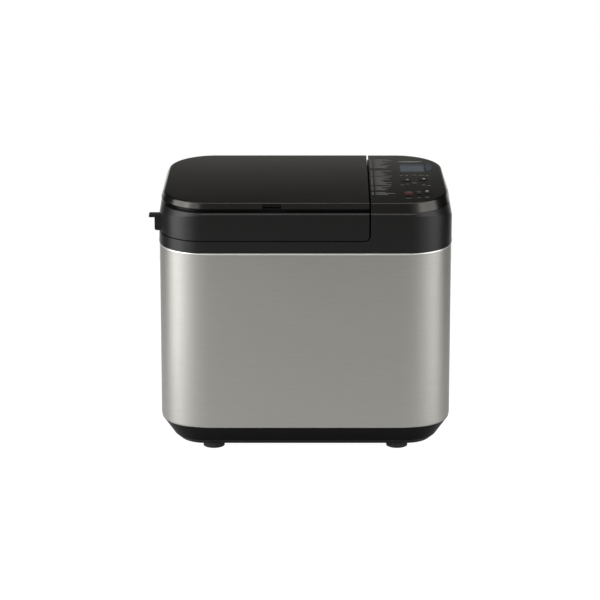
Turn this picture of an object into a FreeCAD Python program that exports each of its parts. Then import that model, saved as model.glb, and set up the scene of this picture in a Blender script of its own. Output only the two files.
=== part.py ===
import FreeCAD
import Part
import math
import os

V = FreeCAD.Vector

# Bread machine: a steel-sided body with a rear-hinged lid on the left, a fixed
# control console on the right, and a lift-out bread pan driven from below.
# Millimetres, Z up. Shapes are drawn about the body's centre line and moved to
# the middle of the overall box, tab included, when they are saved.

# Outer body
body_width = 394.0
body_depth = 252.0
corner_radius = 60.0
foot_height = 9.0
foot_radius = 14.5
foot_inset_x = 72.0
foot_inset_y = 45.0
foot_stem_radius = 5.0
base_height = 31.0
base_taper = 16.5
base_chin = 8.0
base_chin_height = 7.0
base_wall = 3.0
sleeve_height = 248.0
sleeve_wall = 0.6
sleeve_tuck = 1.5
sleeve_tuck_height = 3.0
sleeve_curl = 1.0
sleeve_curl_height = 1.5
collar_height = 16.0
collar_plug = 6.0
frame_wall = 3.0
frame_deck = 4.0

# Clearances
seat_gap = 0.2
move_gap = 0.4
shaft_gap = 0.05
overshoot = 1.0

# Lid and its top plate
console_width = 110.0
lid_gap = 2.2
seam_rib = 1.6
seam_rib_length = 32.0
seam_rib_inset = 24.0
seam_rib_drop = 2.7
lid_seam = 1.5
lid_wall_height = 37.5
lid_wall = 3.0
lid_deck = 3.0
lid_corner = 6.0
lip_bevel = 1.5
shoulder_height = 35.5
groove_height = 4.8
groove_depth = 14.0
groove_end = 41.0
pocket_inset = 20.0
plate_rim = 7.7
plate_inset_low = 6.5
plate_inset = 10.0
plate_corner = 62.0
plate_back_corner = 63.0
plate_side_inset = 3.9
plate_taper = 9.2
plate_wall = 2.5
edge_round = 3.0
notch_offset = 11.1
notch_width = 25.0
notch_height = 5.6
notch_bar = 1.6
tab_reach = 13.5
tab_inset = 51.5
tab_depth = 11.0
tab_thickness = 4.0
tab_rounding = 1.8
tab_height = 19.0
web_reach = 6.0
web_depth = 5.0

# Hinges
hinge_radius = 5.0
hinge_rod = 2.5
hinge_inset = 75.9
hinge_length = 10.0
hinge_block = 9.0
hinge_setback = 2.0
hinge_lift = 1.0
hinge_relief = 2.0
plate_hinge_radius = 2.6
plate_pin = 1.2
plate_hinge_inset = 85.9
plate_hinge_length = 10.0
plate_hinge_setback = 2.4
plate_hinge_block = 16.0
hinge_side_gap = 0.6

# Console
fascia_wall = 2.5
lcd_inset = 50.7
lcd_back_inset = 71.2
lcd_width = 33.6
lcd_depth = 42.6
lcd_drop = 0.3
lcd_flange = 2.0
lcd_flange_thickness = 1.0
lcd_module_height = 5.0
key_proud = 0.6
key_flange = 1.0
key_flange_thickness = 1.4
key_travel = 1.0
key_stem = 2.0
key_stem_length = 1.2
switch_size = 6.0
board_thickness = 1.6
board_margin = 12.0
board_inset = 38.0
# Each key: place across from the console's middle, place along the depth, width and depth
keys = {
    "menu_key": (-6.0, -9.0, 12.0, 12.0),
    "size_key": (18.0, -5.0, 12.0, 12.0),
    "stop_key": (-3.8, -73.0, 13.0, 18.0),
    "time_down_key": (10.4, -69.0, 9.0, 14.0),
    "time_up_key": (21.4, -66.0, 9.0, 14.0),
}

# Oven chamber and bread pan
chamber_margin_x = 25.9
chamber_margin_y = 28.0
chamber_radius = 34.0
chamber_wall = 0.6
chamber_lift = 19.0
chamber_hole = 16.0
socket_radius = 46.0
socket_wall = 4.0
socket_height = 19.0
pan_margin_x = 20.0
pan_margin_y = 25.5
pan_radius = 30.0
pan_height = 150.0
pan_wall = 1.6
pan_rim = 5.0
pan_rim_thickness = 2.0
pan_lift = 30.0
pan_base_wall = 6.0
ear_height = 14.0
ear_thickness = 3.0
ear_width = 18.0
ear_pin = 3.0
ear_pin_length = 5.0
ear_axis = 7.0
handle_reach = 45.0
handle_eye = 6.0
handle_strip = 2.6
handle_bar = 4.0
heater_radius = 3.5
heater_margin_x = 17.0
heater_margin_y = 16.0
heater_corner = 40.0
heater_lift = 12.0
heater_legs = 24.0
heater_leg_length = 8.0
sensor_radius = 3.0
sensor_y = 50.0
sensor_lift = 90.0
sensor_length = 22.0

# Lid interior
liner_margin = 5.0
liner_wall = 0.8
liner_ceiling = 3.2
liner_post_radius = 4.0
gasket_width = 8.0
gasket_thickness = 1.6
dispenser_side_room = 60.0
dispenser_depth = 50.0
dispenser_y = 37.0
dispenser_wall = 1.6
dispenser_bottom = 2.5
dispenser_flange = 3.0
dispenser_flange_thickness = 1.5
flap_thickness = 2.0
flap_knuckle = 2.2
flap_pin = 1.0
flap_hinge_length = 12.0
flap_setback = 1.8

# Drive
chassis_lift = 34.0
chassis_thickness = 1.5
chassis_inset_x = 25.0
chassis_inset_y = 19.0
chassis_corner = 30.0
chassis_post = 7.0
post_inset_x = 47.0
post_inset_y = 41.0
screw_radius = 2.0
screw_head = 4.0
screw_head_height = 2.5
screw_length = 10.0
shaft_radius = 5.0
bush_radius = 10.0
housing_radius = 22.0
pulley_drop = 10.0
pulley_height = 14.0
pulley_flange = 2.0
large_pulley_radius = 60.0
small_pulley_radius = 12.0
pulley_window = 12.0
belt_thickness = 3.0
motor_inset = 72.0
motor_radius = 38.0
motor_height = 90.0
motor_shaft_radius = 4.0
motor_shaft_depth = 54.0
motor_screw_circle = 26.0
coupling_radius = 16.0
coupling_hub = 6.0
coupling_lift = 2.0
dog_height = 8.0
dog_angle = 60.0
dog_pitch = 180.0
dog_inner_radius = 7.0
pan_shaft_radius = 4.0
bearing_radius = 9.0
bearing_flange = 13.0
bearing_flange_height = 5.0
bearing_rise = 4.0
blade_hub = 9.0
blade_height = 34.0
blade_hub_height = 24.0
blade_length = 52.0
blade_thickness = 8.0

# Power board and cord entry
bracket_inset = 25.0
bracket_thickness = 2.0
bracket_width = 100.0
bracket_height = 124.0
bracket_foot = 8.0
board_stand = 2.0
stand_inset = 12.0
power_parts_height = 12.0
gland_inset = 87.0
gland_drop = 16.0
gland_radius = 7.0
gland_flange = 10.0
gland_flange_thickness = 1.5
gland_length = 8.0
gland_bore = 3.6

# Heights up the stack
base_z = foot_height
sleeve_z = base_z + base_height
collar_z = sleeve_z + sleeve_height
deck_z = collar_z + collar_height
lid_z = deck_z + lid_seam
wall_z = lid_z + lid_wall_height
plate_z = wall_z + groove_height
shoulder_z = plate_z - move_gap
top_z = plate_z + plate_rim
fascia_z = wall_z + move_gap
fascia_under_z = top_z - fascia_wall
chassis_z = sleeve_z + chassis_lift
chassis_top_z = chassis_z + chassis_thickness
chamber_z = chassis_top_z + chamber_lift
chamber_floor_z = chamber_z + chamber_wall
pan_z = chamber_floor_z + pan_lift
pan_top_z = pan_z + pan_height
coupling_z = chamber_floor_z + seat_gap + coupling_lift
dog_z = coupling_z + coupling_hub
pan_hub_z = dog_z + dog_height + move_gap
bearing_z = pan_hub_z + coupling_hub + move_gap
blade_z = pan_z + pan_wall + bearing_rise + move_gap
pulley_z = chassis_z - pulley_drop - pulley_height
handle_z = pan_top_z + ear_axis
lid_deck_z = wall_z - lid_deck
liner_z = deck_z + move_gap + gasket_thickness
dispenser_z = liner_z + dispenser_bottom
flap_z = dispenser_z - move_gap - flap_thickness
lcd_module_z = fascia_under_z - lcd_flange_thickness - lcd_module_height
board_z = lcd_module_z - board_thickness
gland_z = chassis_z - gland_drop
bracket_z = chassis_top_z

# Places across the body
half_width = body_width / 2
half_depth = body_depth / 2
console_x = half_width - console_width
lid_right = console_x - lid_gap
console_middle = console_x + console_width / 2
oven_x = (lid_right - half_width) / 2
chamber_width = lid_right + half_width - 2 * chamber_margin_x
dispenser_width = chamber_width + 2 * liner_margin - 2 * dispenser_side_room
chamber_depth = body_depth - 2 * chamber_margin_y
pan_width = chamber_width - 2 * pan_margin_x
pan_depth = chamber_depth - 2 * pan_margin_y
foot_x = half_width - foot_inset_x
foot_y = half_depth - foot_inset_y
post_x = half_width - post_inset_x
post_y = half_depth - post_inset_y
motor_x = half_width - motor_inset
bracket_x = half_width - bracket_inset
gland_x = half_width - gland_inset
lcd_x = half_width - lcd_inset
lcd_y = half_depth - lcd_back_inset
notch_x = oven_x + notch_offset
tab_y = tab_inset - half_depth
hinge_y = half_depth - hinge_radius - hinge_setback
hinge_z = lid_z + hinge_radius + hinge_lift
plate_hinge_y = half_depth - plate_hinge_radius - plate_hinge_setback
plate_hinge_z = plate_z - plate_hinge_radius - 2 * move_gap
flap_hinge_y = dispenser_y + dispenser_depth / 2 + flap_knuckle + flap_setback
flap_hinge_z = flap_z + flap_thickness + move_gap
body_x = tab_reach / 2


def box(x0, x1, y0, y1, z0, z1):
    """Upright block between two opposite corners."""
    return Part.makeBox(x1 - x0, y1 - y0, z1 - z0, V(x0, y0, z0))


def post(x, y, z0, z1, radius):
    """Upright cylinder."""
    return Part.makeCylinder(radius, z1 - z0, V(x, y, z0))


def ring(x, y, z0, z1, outer, inner):
    """Upright tube with a square section."""
    hole = post(x, y, z0 - overshoot, z1 + overshoot, inner)
    return post(x, y, z0, z1, outer).cut(hole)


def rod_x(x0, x1, y, z, radius):
    """Cylinder lying along X."""
    return Part.makeCylinder(radius, x1 - x0, V(x0, y, z), V(1, 0, 0))


def rod_y(x, y0, y1, z, radius):
    """Cylinder lying along Y."""
    return Part.makeCylinder(radius, y1 - y0, V(x, y0, z), V(0, 1, 0))


def rounded_polygon(points, radii, z):
    """Level outline through corners in anticlockwise order, each rounded by its own radius."""
    arcs = []
    for index, radius in enumerate(radii):
        corner = V(*points[index], z)
        before = (V(*points[index - 1], z) - corner).normalize()
        after = (V(*points[(index + 1) % len(points)], z) - corner).normalize()
        half_angle = before.getAngle(after) / 2
        inward = (before + after).normalize()
        middle = corner + inward * (radius / math.sin(half_angle) - radius)
        reach = radius / math.tan(half_angle)
        arcs.append(Part.Arc(corner + before * reach, middle, corner + after * reach).toShape())
    edges = []
    for arc, following in zip(arcs, arcs[1:] + arcs[:1]):
        edges.append(arc)
        edges.append(Part.makeLine(arc.lastVertex().Point, following.firstVertex().Point))
    return Part.Wire(edges)


def rounded_wire(width, depth, radius, z, x=0.0, y=0.0):
    """Level rectangle with four rounded corners."""
    points = [(x + sx * width / 2, y + sy * depth / 2) for sx, sy in ((1, 1), (-1, 1), (-1, -1), (1, -1))]
    return rounded_polygon(points, [radius] * len(points), z)


def slab(width, depth, radius, z0, z1, x=0.0, y=0.0):
    """Upright prism on a rounded rectangle."""
    return Part.Face(rounded_wire(width, depth, radius, z0, x, y)).extrude(V(0, 0, z1 - z0))


def outline(inset, z):
    """The body's plan outline, drawn in by an inset."""
    return rounded_wire(body_width - 2 * inset, body_depth - 2 * inset, corner_radius - inset, z)


def plate_outline(inset, z):
    """The top's plan outline, a little narrower at the back than at the front, drawn in by an inset."""
    grow = plate_inset - inset
    front = half_width - plate_side_inset + grow
    back = front - plate_taper
    y = half_depth - inset
    points = [(back, y), (-back, y), (-front, -y), (front, -y)]
    back_corner = plate_back_corner + grow
    front_corner = plate_corner + grow
    return rounded_polygon(points, [back_corner, back_corner, front_corner, front_corner], z)


def loft(low, high):
    """Straight-sided solid between two outlines."""
    return Part.makeLoft([low, high], True, True)


def band(inset, z0, z1):
    """Prism on the body's outline between two heights."""
    return Part.Face(outline(inset, z0)).extrude(V(0, 0, z1 - z0))


def shoulder(inset):
    """Solid under the shoulder: steep at the front, gentle at the sides and back, drawn in by an inset."""
    drop = top_z - lid_z
    lip_drop = top_z - wall_z + lip_bevel
    side = plate_inset * (drop / shoulder_height - 1) - inset
    front = plate_inset * (drop / lip_drop - 1) - inset
    low = rounded_wire(body_width + 2 * side, body_depth + side + front, corner_radius + side, lid_z,
                       y=(side - front) / 2)
    return loft(low, plate_outline(plate_inset + inset, top_z))


def form(inset, z0, z1):
    """The outer form between two heights, with its shoulder, drawn in by an inset."""
    upper = band(inset, max(z0, lid_z), z1).common(shoulder(inset))
    return upper if z0 >= lid_z else band(inset, z0, lid_z).fuse(upper)


def rounded_top(solid):
    """The solid with the edge round its top rounded over."""
    return solid.makeFillet(edge_round, [e for e in solid.Edges if e.BoundBox.ZMin > top_z - move_gap])


def left_of(x):
    """Everything on the lid's side of an upright plane."""
    return box(-body_width, x, -body_depth, body_depth, -body_width, 2 * body_width)


def right_of(x):
    """Everything on the console's side of an upright plane."""
    return box(x, body_width, -body_depth, body_depth, -body_width, 2 * body_width)


def near(a, b):
    """Whether two coordinates are the same place."""
    return abs(a - b) < 0.01


def corners(dx, dy, x=0.0, y=0.0):
    """The four corners of a rectangle, given by half its sides."""
    return [(x + sx * dx, y + sy * dy) for sx in (-1, 1) for sy in (-1, 1)]


def key_layout():
    """Each key's place on the console, with its width and depth."""
    return [(console_middle + across, y, width, depth) for across, y, width, depth in keys.values()]


def hinge_places(inset):
    """The two hinge stations across the lid, as far in from its left side as from its right."""
    return [inset - half_width, lid_right - inset]


def screw(x, y, z):
    """Round-headed screw pointing down, with its head's underside at z."""
    shank = post(x, y, z - screw_length, z, screw_radius)
    return shank.fuse(post(x, y, z, z + screw_head_height, screw_head))


def foot(x, y):
    """Rubber foot with a stem through the base's floor."""
    return post(x, y, 0, foot_height, foot_radius).fuse(
        post(x, y, foot_height, foot_height + base_wall, foot_stem_radius))


def base_solid(wall):
    """The base's form, drawn in by a wall: a long taper above a short chin."""
    taper = sleeve_tuck + base_taper + wall
    chin_z = base_z + base_chin_height
    upper = loft(outline(taper, chin_z), outline(sleeve_tuck + wall, sleeve_z))
    return upper.fuse(loft(outline(taper + base_chin, base_z), outline(taper, chin_z)))


def base_tray():
    """Tapered plastic base with posts for the chassis and holes for the feet."""
    inside = base_solid(base_wall).common(box(-body_width, body_width, -body_depth, body_depth,
                                              base_z + base_wall, sleeve_z))
    tray = base_solid(0).cut(inside)
    for x, y in corners(post_x, post_y):
        tray = tray.fuse(post(x, y, base_z + base_wall / 2, chassis_z, chassis_post))
        hole_z = chassis_z - screw_length - overshoot
        tray = tray.cut(post(x, y, hole_z, chassis_z + overshoot, screw_radius + seat_gap))
    for x, y in corners(foot_x, foot_y):
        floor_z = base_z + base_wall
        tray = tray.cut(post(x, y, base_z - overshoot, floor_z + overshoot, foot_stem_radius + seat_gap))
    return tray


def sleeve_solid(wall):
    """The sleeve's form, drawn in by a wall, tucked in at its foot and curled in at its top."""
    tuck_z = sleeve_z + sleeve_tuck_height
    curl_z = collar_z - sleeve_curl_height
    tuck = loft(outline(sleeve_tuck + wall, sleeve_z), outline(wall, tuck_z))
    curl = loft(outline(wall, curl_z), outline(sleeve_curl + wall, collar_z))
    return tuck.fuse(band(wall, tuck_z, curl_z)).fuse(curl)


def outer_sleeve():
    """Steel sleeve round the body, with the cord's hole at the back."""
    sleeve = sleeve_solid(0).cut(sleeve_solid(sleeve_wall))
    return sleeve.cut(rod_y(gland_x, 0, body_depth, gland_z, gland_radius + seat_gap))


def lid_space():
    """The space left for the lid: rounded under its lower corner, but square behind, where it tips down."""
    space = box(-body_width, console_x, -body_depth, body_depth, deck_z, 2 * deck_z)
    edges = [e for e in space.Edges if near(e.CenterOfMass.x, console_x) and near(e.CenterOfMass.z, deck_z)]
    behind = box(-body_width, console_x, hinge_y - hinge_radius - hinge_relief, body_depth, deck_z, 2 * deck_z)
    return space.makeFillet(lid_corner + lid_gap, edges).fuse(behind)


def top_frame():
    """Collar round the sleeve's top, its deck, the console's walls, a seam rib and the fixed hinge knuckles."""
    frame = form(0, collar_z, wall_z).cut(lid_space())
    frame = frame.cut(band(frame_wall, collar_z - overshoot, deck_z - frame_deck))
    inside = form(frame_wall, collar_z - overshoot, wall_z + overshoot)
    frame = frame.cut(inside.common(right_of(console_x + lid_corner + lid_gap)))
    mouth_width = chamber_width - 2 * chamber_wall
    mouth_depth = chamber_depth - 2 * chamber_wall
    mouth_radius = chamber_radius - chamber_wall
    frame = frame.cut(slab(mouth_width, mouth_depth, mouth_radius, collar_z, deck_z + overshoot, oven_x))
    plug = band(sleeve_curl + sleeve_wall + seat_gap, collar_z - collar_plug, collar_z + overshoot)
    plug = plug.cut(band(frame_wall, collar_z - collar_plug - overshoot, collar_z + 2 * overshoot))
    frame = frame.fuse(plug)
    for x in hinge_places(hinge_inset):
        x0 = x - hinge_length / 2
        x1 = x + hinge_length / 2
        frame = frame.fuse(rod_x(x0, x1, hinge_y, hinge_z, hinge_radius))
        y0 = hinge_y - hinge_radius
        frame = frame.fuse(box(x0, x1, y0, hinge_y + hinge_radius, deck_z - frame_deck, hinge_z))
        frame = frame.cut(rod_x(x0 - overshoot, x1 + overshoot, hinge_y, hinge_z, hinge_rod + seat_gap))
    rib_y = half_depth - seam_rib_inset
    rib = box(console_x - seam_rib, console_x + lid_corner, rib_y - seam_rib_length, rib_y, deck_z, wall_z)
    crest_z = top_z - seam_rib_drop
    crest = box(console_x - seam_rib, console_x - seat_gap, rib_y - seam_rib_length, rib_y, deck_z, crest_z)
    return frame.fuse(rib.fuse(crest))


def lid_hinge_rods():
    """Two steel rods that the lid turns on."""
    half = 1.5 * hinge_length + hinge_side_gap
    return [rod_x(x - half, x + half, hinge_y, hinge_z, hinge_rod) for x in hinge_places(hinge_inset)]


def lid_knuckles(x):
    """The lid's two knuckles beside one fixed knuckle, bored for the rod."""
    knuckles = []
    for side in (-1, 1):
        middle = x + side * (hinge_length + hinge_side_gap)
        x0 = middle - hinge_length / 2
        x1 = middle + hinge_length / 2
        block = box(x0, x1, hinge_y - hinge_radius, half_depth - lid_wall / 2, hinge_z, hinge_z + hinge_block)
        barrel = rod_x(x0, x1, hinge_y, hinge_z, hinge_radius)
        bore = rod_x(x0 - overshoot, x1 + overshoot, hinge_y, hinge_z, hinge_rod + shaft_gap)
        knuckles.append(barrel.fuse(block).cut(bore))
    return knuckles


def plate_knuckles(x):
    """The lid's two small knuckles that carry the top plate's pin."""
    knuckles = []
    for side in (-1, 1):
        middle = x + side * (plate_hinge_length + hinge_side_gap)
        x0 = middle - plate_hinge_length / 2
        x1 = middle + plate_hinge_length / 2
        y0 = plate_hinge_y - plate_hinge_radius
        y1 = plate_hinge_y + plate_hinge_radius
        block = box(x0, x1, y0, y1, plate_hinge_z - plate_hinge_block, plate_hinge_z)
        barrel = rod_x(x0, x1, plate_hinge_y, plate_hinge_z, plate_hinge_radius)
        bore = rod_x(x0 - overshoot, x1 + overshoot, plate_hinge_y, plate_hinge_z, plate_pin + shaft_gap)
        knuckles.append(barrel.fuse(block).cut(bore))
    return knuckles


def finger_groove():
    """The groove under the plate's front edge, carried round the left corner."""
    groove = band(0, wall_z, shoulder_z + overshoot).cut(band(groove_depth, wall_z - overshoot, top_z))
    return groove.common(box(-body_width, body_width, -body_depth, groove_end - half_depth, wall_z, top_z))


def lid_tab():
    """T-shaped lifting tab on the lid's left side, near the front."""
    flange_z = lid_z + tab_height
    root = half_width - corner_radius / 4
    tip = half_width + tab_reach
    y0 = tab_y - tab_depth / 2
    flange = box(-tip, -root, y0, y0 + tab_depth, flange_z, flange_z + tab_thickness)
    ends = [e for e in flange.Edges if near(e.CenterOfMass.x, -tip) and near(e.CenterOfMass.y, tab_y)]
    flange = flange.makeFillet(tab_rounding, ends)
    web_tip = -half_width - web_reach
    web = box(web_tip, -root, tab_y - web_depth / 2, tab_y + web_depth / 2, lid_z, flange_z)
    foot_edge = [e for e in web.Edges if near(e.CenterOfMass.x, web_tip) and near(e.CenterOfMass.z, lid_z)]
    web = web.makeFillet(web_reach / 2, foot_edge)
    return flange.fuse(web)


def lid_shell():
    """Lid walls, shoulder and deck, with the finger groove, hinge knuckles and lifting tab."""
    edge = box(-body_width, lid_right, -body_depth, body_depth, lid_z, top_z)
    low_corner = [e for e in edge.Edges if near(e.CenterOfMass.x, lid_right) and near(e.CenterOfMass.z, lid_z)]
    edge = edge.makeFillet(lid_corner, low_corner)
    shell = form(0, lid_z, shoulder_z).common(edge)
    inner = left_of(lid_right - lid_wall - lid_corner)
    shell = shell.fuse(lid_tab()).cut(form(lid_wall, lid_z - overshoot, lid_deck_z).common(inner))
    shell = shell.cut(band(pocket_inset, wall_z, top_z).common(left_of(lid_right - pocket_inset + plate_inset)))
    shell = shell.cut(finger_groove())
    back = hinge_y - hinge_radius - hinge_relief
    shell = shell.cut(box(-body_width, body_width, back, body_depth, lid_z - overshoot, hinge_z + move_gap))
    for x in hinge_places(hinge_inset):
        half = hinge_length / 2 + hinge_side_gap
        shell = shell.cut(box(x - half, x + half, back, body_depth, lid_z, hinge_z + hinge_block))
        for knuckle in lid_knuckles(x):
            shell = shell.fuse(knuckle)
    for x in hinge_places(plate_hinge_inset):
        half = 1.5 * plate_hinge_length + 2 * hinge_side_gap
        seat_y = plate_hinge_y - plate_hinge_radius - hinge_relief
        seat_z = plate_hinge_z - plate_hinge_radius - hinge_side_gap
        shell = shell.cut(box(x - half, x + half, seat_y, body_depth, seat_z, top_z))
        for knuckle in plate_knuckles(x):
            shell = shell.fuse(knuckle)
    mouth_width = dispenser_width + 2 * seat_gap
    mouth_depth = dispenser_depth + 2 * seat_gap
    return shell.cut(
        slab(mouth_width, mouth_depth, dispenser_flange, lid_deck_z - overshoot, top_z, oven_x, dispenser_y))


def plate_hinge_pins():
    """Two steel pins that the top plate turns on."""
    half = 1.5 * plate_hinge_length + hinge_side_gap
    places = hinge_places(plate_hinge_inset)
    return [rod_x(x - half, x + half, plate_hinge_y, plate_hinge_z, plate_pin) for x in places]


def top_plate():
    """Glossy cover over the dispenser, with its rim, finger notch and hinge barrels."""
    plate = loft(plate_outline(plate_inset_low, plate_z), plate_outline(plate_inset, top_z))
    plate = rounded_top(plate).common(left_of(lid_right))
    inset = plate_inset + plate_wall
    hollow = loft(plate_outline(inset, plate_z - overshoot), plate_outline(inset, top_z - plate_wall))
    plate = plate.cut(hollow.common(left_of(lid_right - plate_wall)))
    x0 = notch_x - notch_width / 2
    x1 = notch_x + notch_width / 2
    front = plate_inset_low - half_depth
    back = plate_inset + plate_wall - half_depth
    notch_z = plate_z + notch_height
    plate = plate.cut(box(x0, x1, front - overshoot, back + overshoot, plate_z - overshoot, notch_z))
    bar_z = plate_z + notch_height / 2 - notch_bar / 2
    bar_y = back - plate_wall / 2
    bar = box(x0 - plate_wall, x1 + plate_wall, bar_y, back + plate_wall, bar_z, bar_z + notch_bar)
    plate = plate.fuse(bar)
    for x in hinge_places(plate_hinge_inset):
        start = x - plate_hinge_length / 2
        end = x + plate_hinge_length / 2
        barrel = rod_x(start, end, plate_hinge_y, plate_hinge_z, plate_hinge_radius)
        leaf_y = plate_hinge_y - plate_hinge_radius
        leaf = box(start, end, leaf_y, plate_hinge_y, plate_hinge_z, plate_z + plate_wall)
        under = loft(plate_outline(plate_inset_low, plate_hinge_z), plate_outline(plate_inset_low, top_z))
        leaf = leaf.common(under)
        bore = rod_x(start - overshoot, end + overshoot, plate_hinge_y, plate_hinge_z, plate_pin + shaft_gap)
        plate = plate.fuse(barrel.fuse(leaf).cut(bore))
    return plate


def console_fascia():
    """Glossy cap of the console, with a sloping rim and holes for the window and keys."""
    fascia = rounded_top(form(0, fascia_z, top_z)).common(right_of(console_x))
    hollow = form(fascia_wall, fascia_z - overshoot, fascia_under_z)
    fascia = fascia.cut(hollow.common(right_of(console_x + fascia_wall)))
    window = slab(lcd_width, lcd_depth, lcd_flange, fascia_under_z - overshoot, top_z + overshoot, lcd_x, lcd_y)
    fascia = fascia.cut(window)
    for x, y, width, depth in key_layout():
        hole = slab(width + 2 * move_gap, depth + 2 * move_gap, width / 2, fascia_under_z - overshoot,
                    top_z + overshoot, x, y)
        fascia = fascia.cut(hole)
    return fascia


def lcd_window():
    """Clear window set in the fascia, with a flange behind it."""
    pane = slab(lcd_width - 2 * seat_gap, lcd_depth - 2 * seat_gap, lcd_flange - seat_gap,
                fascia_under_z - lcd_flange_thickness, top_z - lcd_drop, lcd_x, lcd_y)
    flange = slab(lcd_width + 2 * lcd_flange, lcd_depth + 2 * lcd_flange, 2 * lcd_flange,
                  fascia_under_z - lcd_flange_thickness, fascia_under_z, lcd_x, lcd_y)
    return pane.fuse(flange)


def lcd_module():
    """Display module between the window and the control board."""
    return slab(lcd_width + 2 * lcd_flange, lcd_depth + 2 * lcd_flange, lcd_flange,
                lcd_module_z, lcd_module_z + lcd_module_height, lcd_x, lcd_y)


def control_board():
    """Circuit board behind the fascia."""
    width = console_width - 2 * board_margin
    depth = body_depth - 2 * board_inset
    return slab(width, depth, corner_radius - board_margin - plate_inset, board_z, lcd_module_z, console_middle)


def key(x, y, width, depth):
    """Key cap with a retaining flange and a stem above its switch."""
    flange_top = fascia_under_z - seat_gap
    flange_z = flange_top - key_flange_thickness
    cap = slab(width, depth, width / 2 - seat_gap, flange_z, top_z + key_proud, x, y)
    flange_width = width + 2 * key_flange
    flange = slab(flange_width, depth + 2 * key_flange, flange_width / 2 - seat_gap, flange_z, flange_top, x, y)
    return cap.fuse(flange).fuse(post(x, y, flange_z - key_stem_length, flange_z, key_stem))


def key_switches():
    """Push switches on the control board, one under each key."""
    flange_z = fascia_under_z - seat_gap - key_flange_thickness
    switch_z = flange_z - key_stem_length - key_travel - seat_gap
    half = switch_size / 2
    return [box(x - half, x + half, y - half, y + half, lcd_module_z, switch_z) for x, y, _, _ in key_layout()]


def oven_chamber():
    """Steel oven box, open at the top, with holes for the drive, heater and sensor."""
    chamber = slab(chamber_width, chamber_depth, chamber_radius, chamber_z, deck_z - frame_deck, oven_x)
    inside = slab(chamber_width - 2 * chamber_wall, chamber_depth - 2 * chamber_wall,
                  chamber_radius - chamber_wall, chamber_floor_z, deck_z, oven_x)
    chamber = chamber.cut(inside)
    chamber = chamber.cut(post(oven_x, 0, chamber_z - overshoot, chamber_floor_z + overshoot, chamber_hole))
    heater_z = chamber_floor_z + heater_lift
    for y in (-heater_legs / 2, heater_legs / 2):
        chamber = chamber.cut(rod_x(oven_x, oven_x + chamber_width, y, heater_z, heater_radius + seat_gap))
    sensor_z = chamber_floor_z + sensor_lift
    return chamber.cut(rod_x(oven_x, oven_x + chamber_width, sensor_y, sensor_z, sensor_radius + seat_gap))


def chamber_spacers():
    """Posts that hold the oven box above the chassis."""
    places = corners(chamber_width / 2 - chamber_radius, chamber_depth / 2 - chamber_radius, oven_x)
    return [post(x, y, chassis_top_z, chamber_z, chassis_post) for x, y in places]


def heater_element():
    """Tubular heater: a rounded loop with two legs through the chamber's side."""
    z = chamber_floor_z + heater_lift
    width = chamber_width - 2 * heater_margin_x
    path = rounded_wire(width, chamber_depth - 2 * heater_margin_y, heater_corner, z, oven_x)
    side = oven_x + width / 2
    section = Part.Wire(Part.Circle(V(side, 0, z), V(0, 1, 0), heater_radius).toShape())
    loop = path.makePipeShell([section], True, False)
    leg_end = oven_x + chamber_width / 2 + heater_leg_length
    for y in (-heater_legs / 2, heater_legs / 2):
        loop = loop.fuse(rod_x(side, leg_end, y, z, heater_radius))
    return loop


def temperature_sensor():
    """Probe through the chamber's side wall."""
    end = oven_x + chamber_width / 2 + sensor_length / 2
    return rod_x(end - sensor_length, end, sensor_y, chamber_floor_z + sensor_lift, sensor_radius)


def pan_socket():
    """Ring on the chamber's floor that the pan's base sits in."""
    socket_top = chamber_floor_z + socket_height
    return ring(oven_x, 0, chamber_floor_z, socket_top, socket_radius + socket_wall, socket_radius)


def bread_pan():
    """Coated pan with a turned-out rim and a hole for its bearing."""
    pan = slab(pan_width, pan_depth, pan_radius, pan_z, pan_top_z, oven_x)
    rim = slab(pan_width + 2 * pan_rim, pan_depth + 2 * pan_rim, pan_radius + pan_rim,
               pan_top_z - pan_rim_thickness, pan_top_z, oven_x)
    inside = slab(pan_width - 2 * pan_wall, pan_depth - 2 * pan_wall, pan_radius - pan_wall,
                  pan_z + pan_wall, pan_top_z + overshoot, oven_x)
    pan = pan.fuse(rim).cut(inside)
    return pan.cut(post(oven_x, 0, pan_z - overshoot, pan_z + pan_wall + overshoot, bearing_radius + seat_gap))


def pan_base():
    """Ring under the pan that drops into the socket."""
    outer = socket_radius - move_gap
    return ring(oven_x, 0, chamber_floor_z + move_gap, pan_z, outer, outer - pan_base_wall)


def pan_bearing():
    """Flanged bearing in the pan's floor."""
    flange_z = pan_z - bearing_flange_height
    bearing = post(oven_x, 0, bearing_z, pan_z + pan_wall + bearing_rise, bearing_radius)
    bearing = bearing.fuse(post(oven_x, 0, flange_z, pan_z, bearing_flange))
    return bearing.cut(post(oven_x, 0, bearing_z - overshoot, blade_z, pan_shaft_radius + shaft_gap))


def handle_ears():
    """Two ears on the pan's rim, each with a pivot pin for the handle."""
    ears = []
    for side in (-1, 1):
        inner = oven_x + side * (pan_width / 2 + pan_rim - ear_thickness)
        outer = oven_x + side * (pan_width / 2 + pan_rim)
        pin_end = outer + side * ear_pin_length
        ear = box(min(inner, outer), max(inner, outer), -ear_width / 2, ear_width / 2,
                  pan_top_z, pan_top_z + ear_height)
        pin = rod_x(min(outer, pin_end), max(outer, pin_end), 0, handle_z, ear_pin)
        ears.append(ear.fuse(pin))
    return ears


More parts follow.
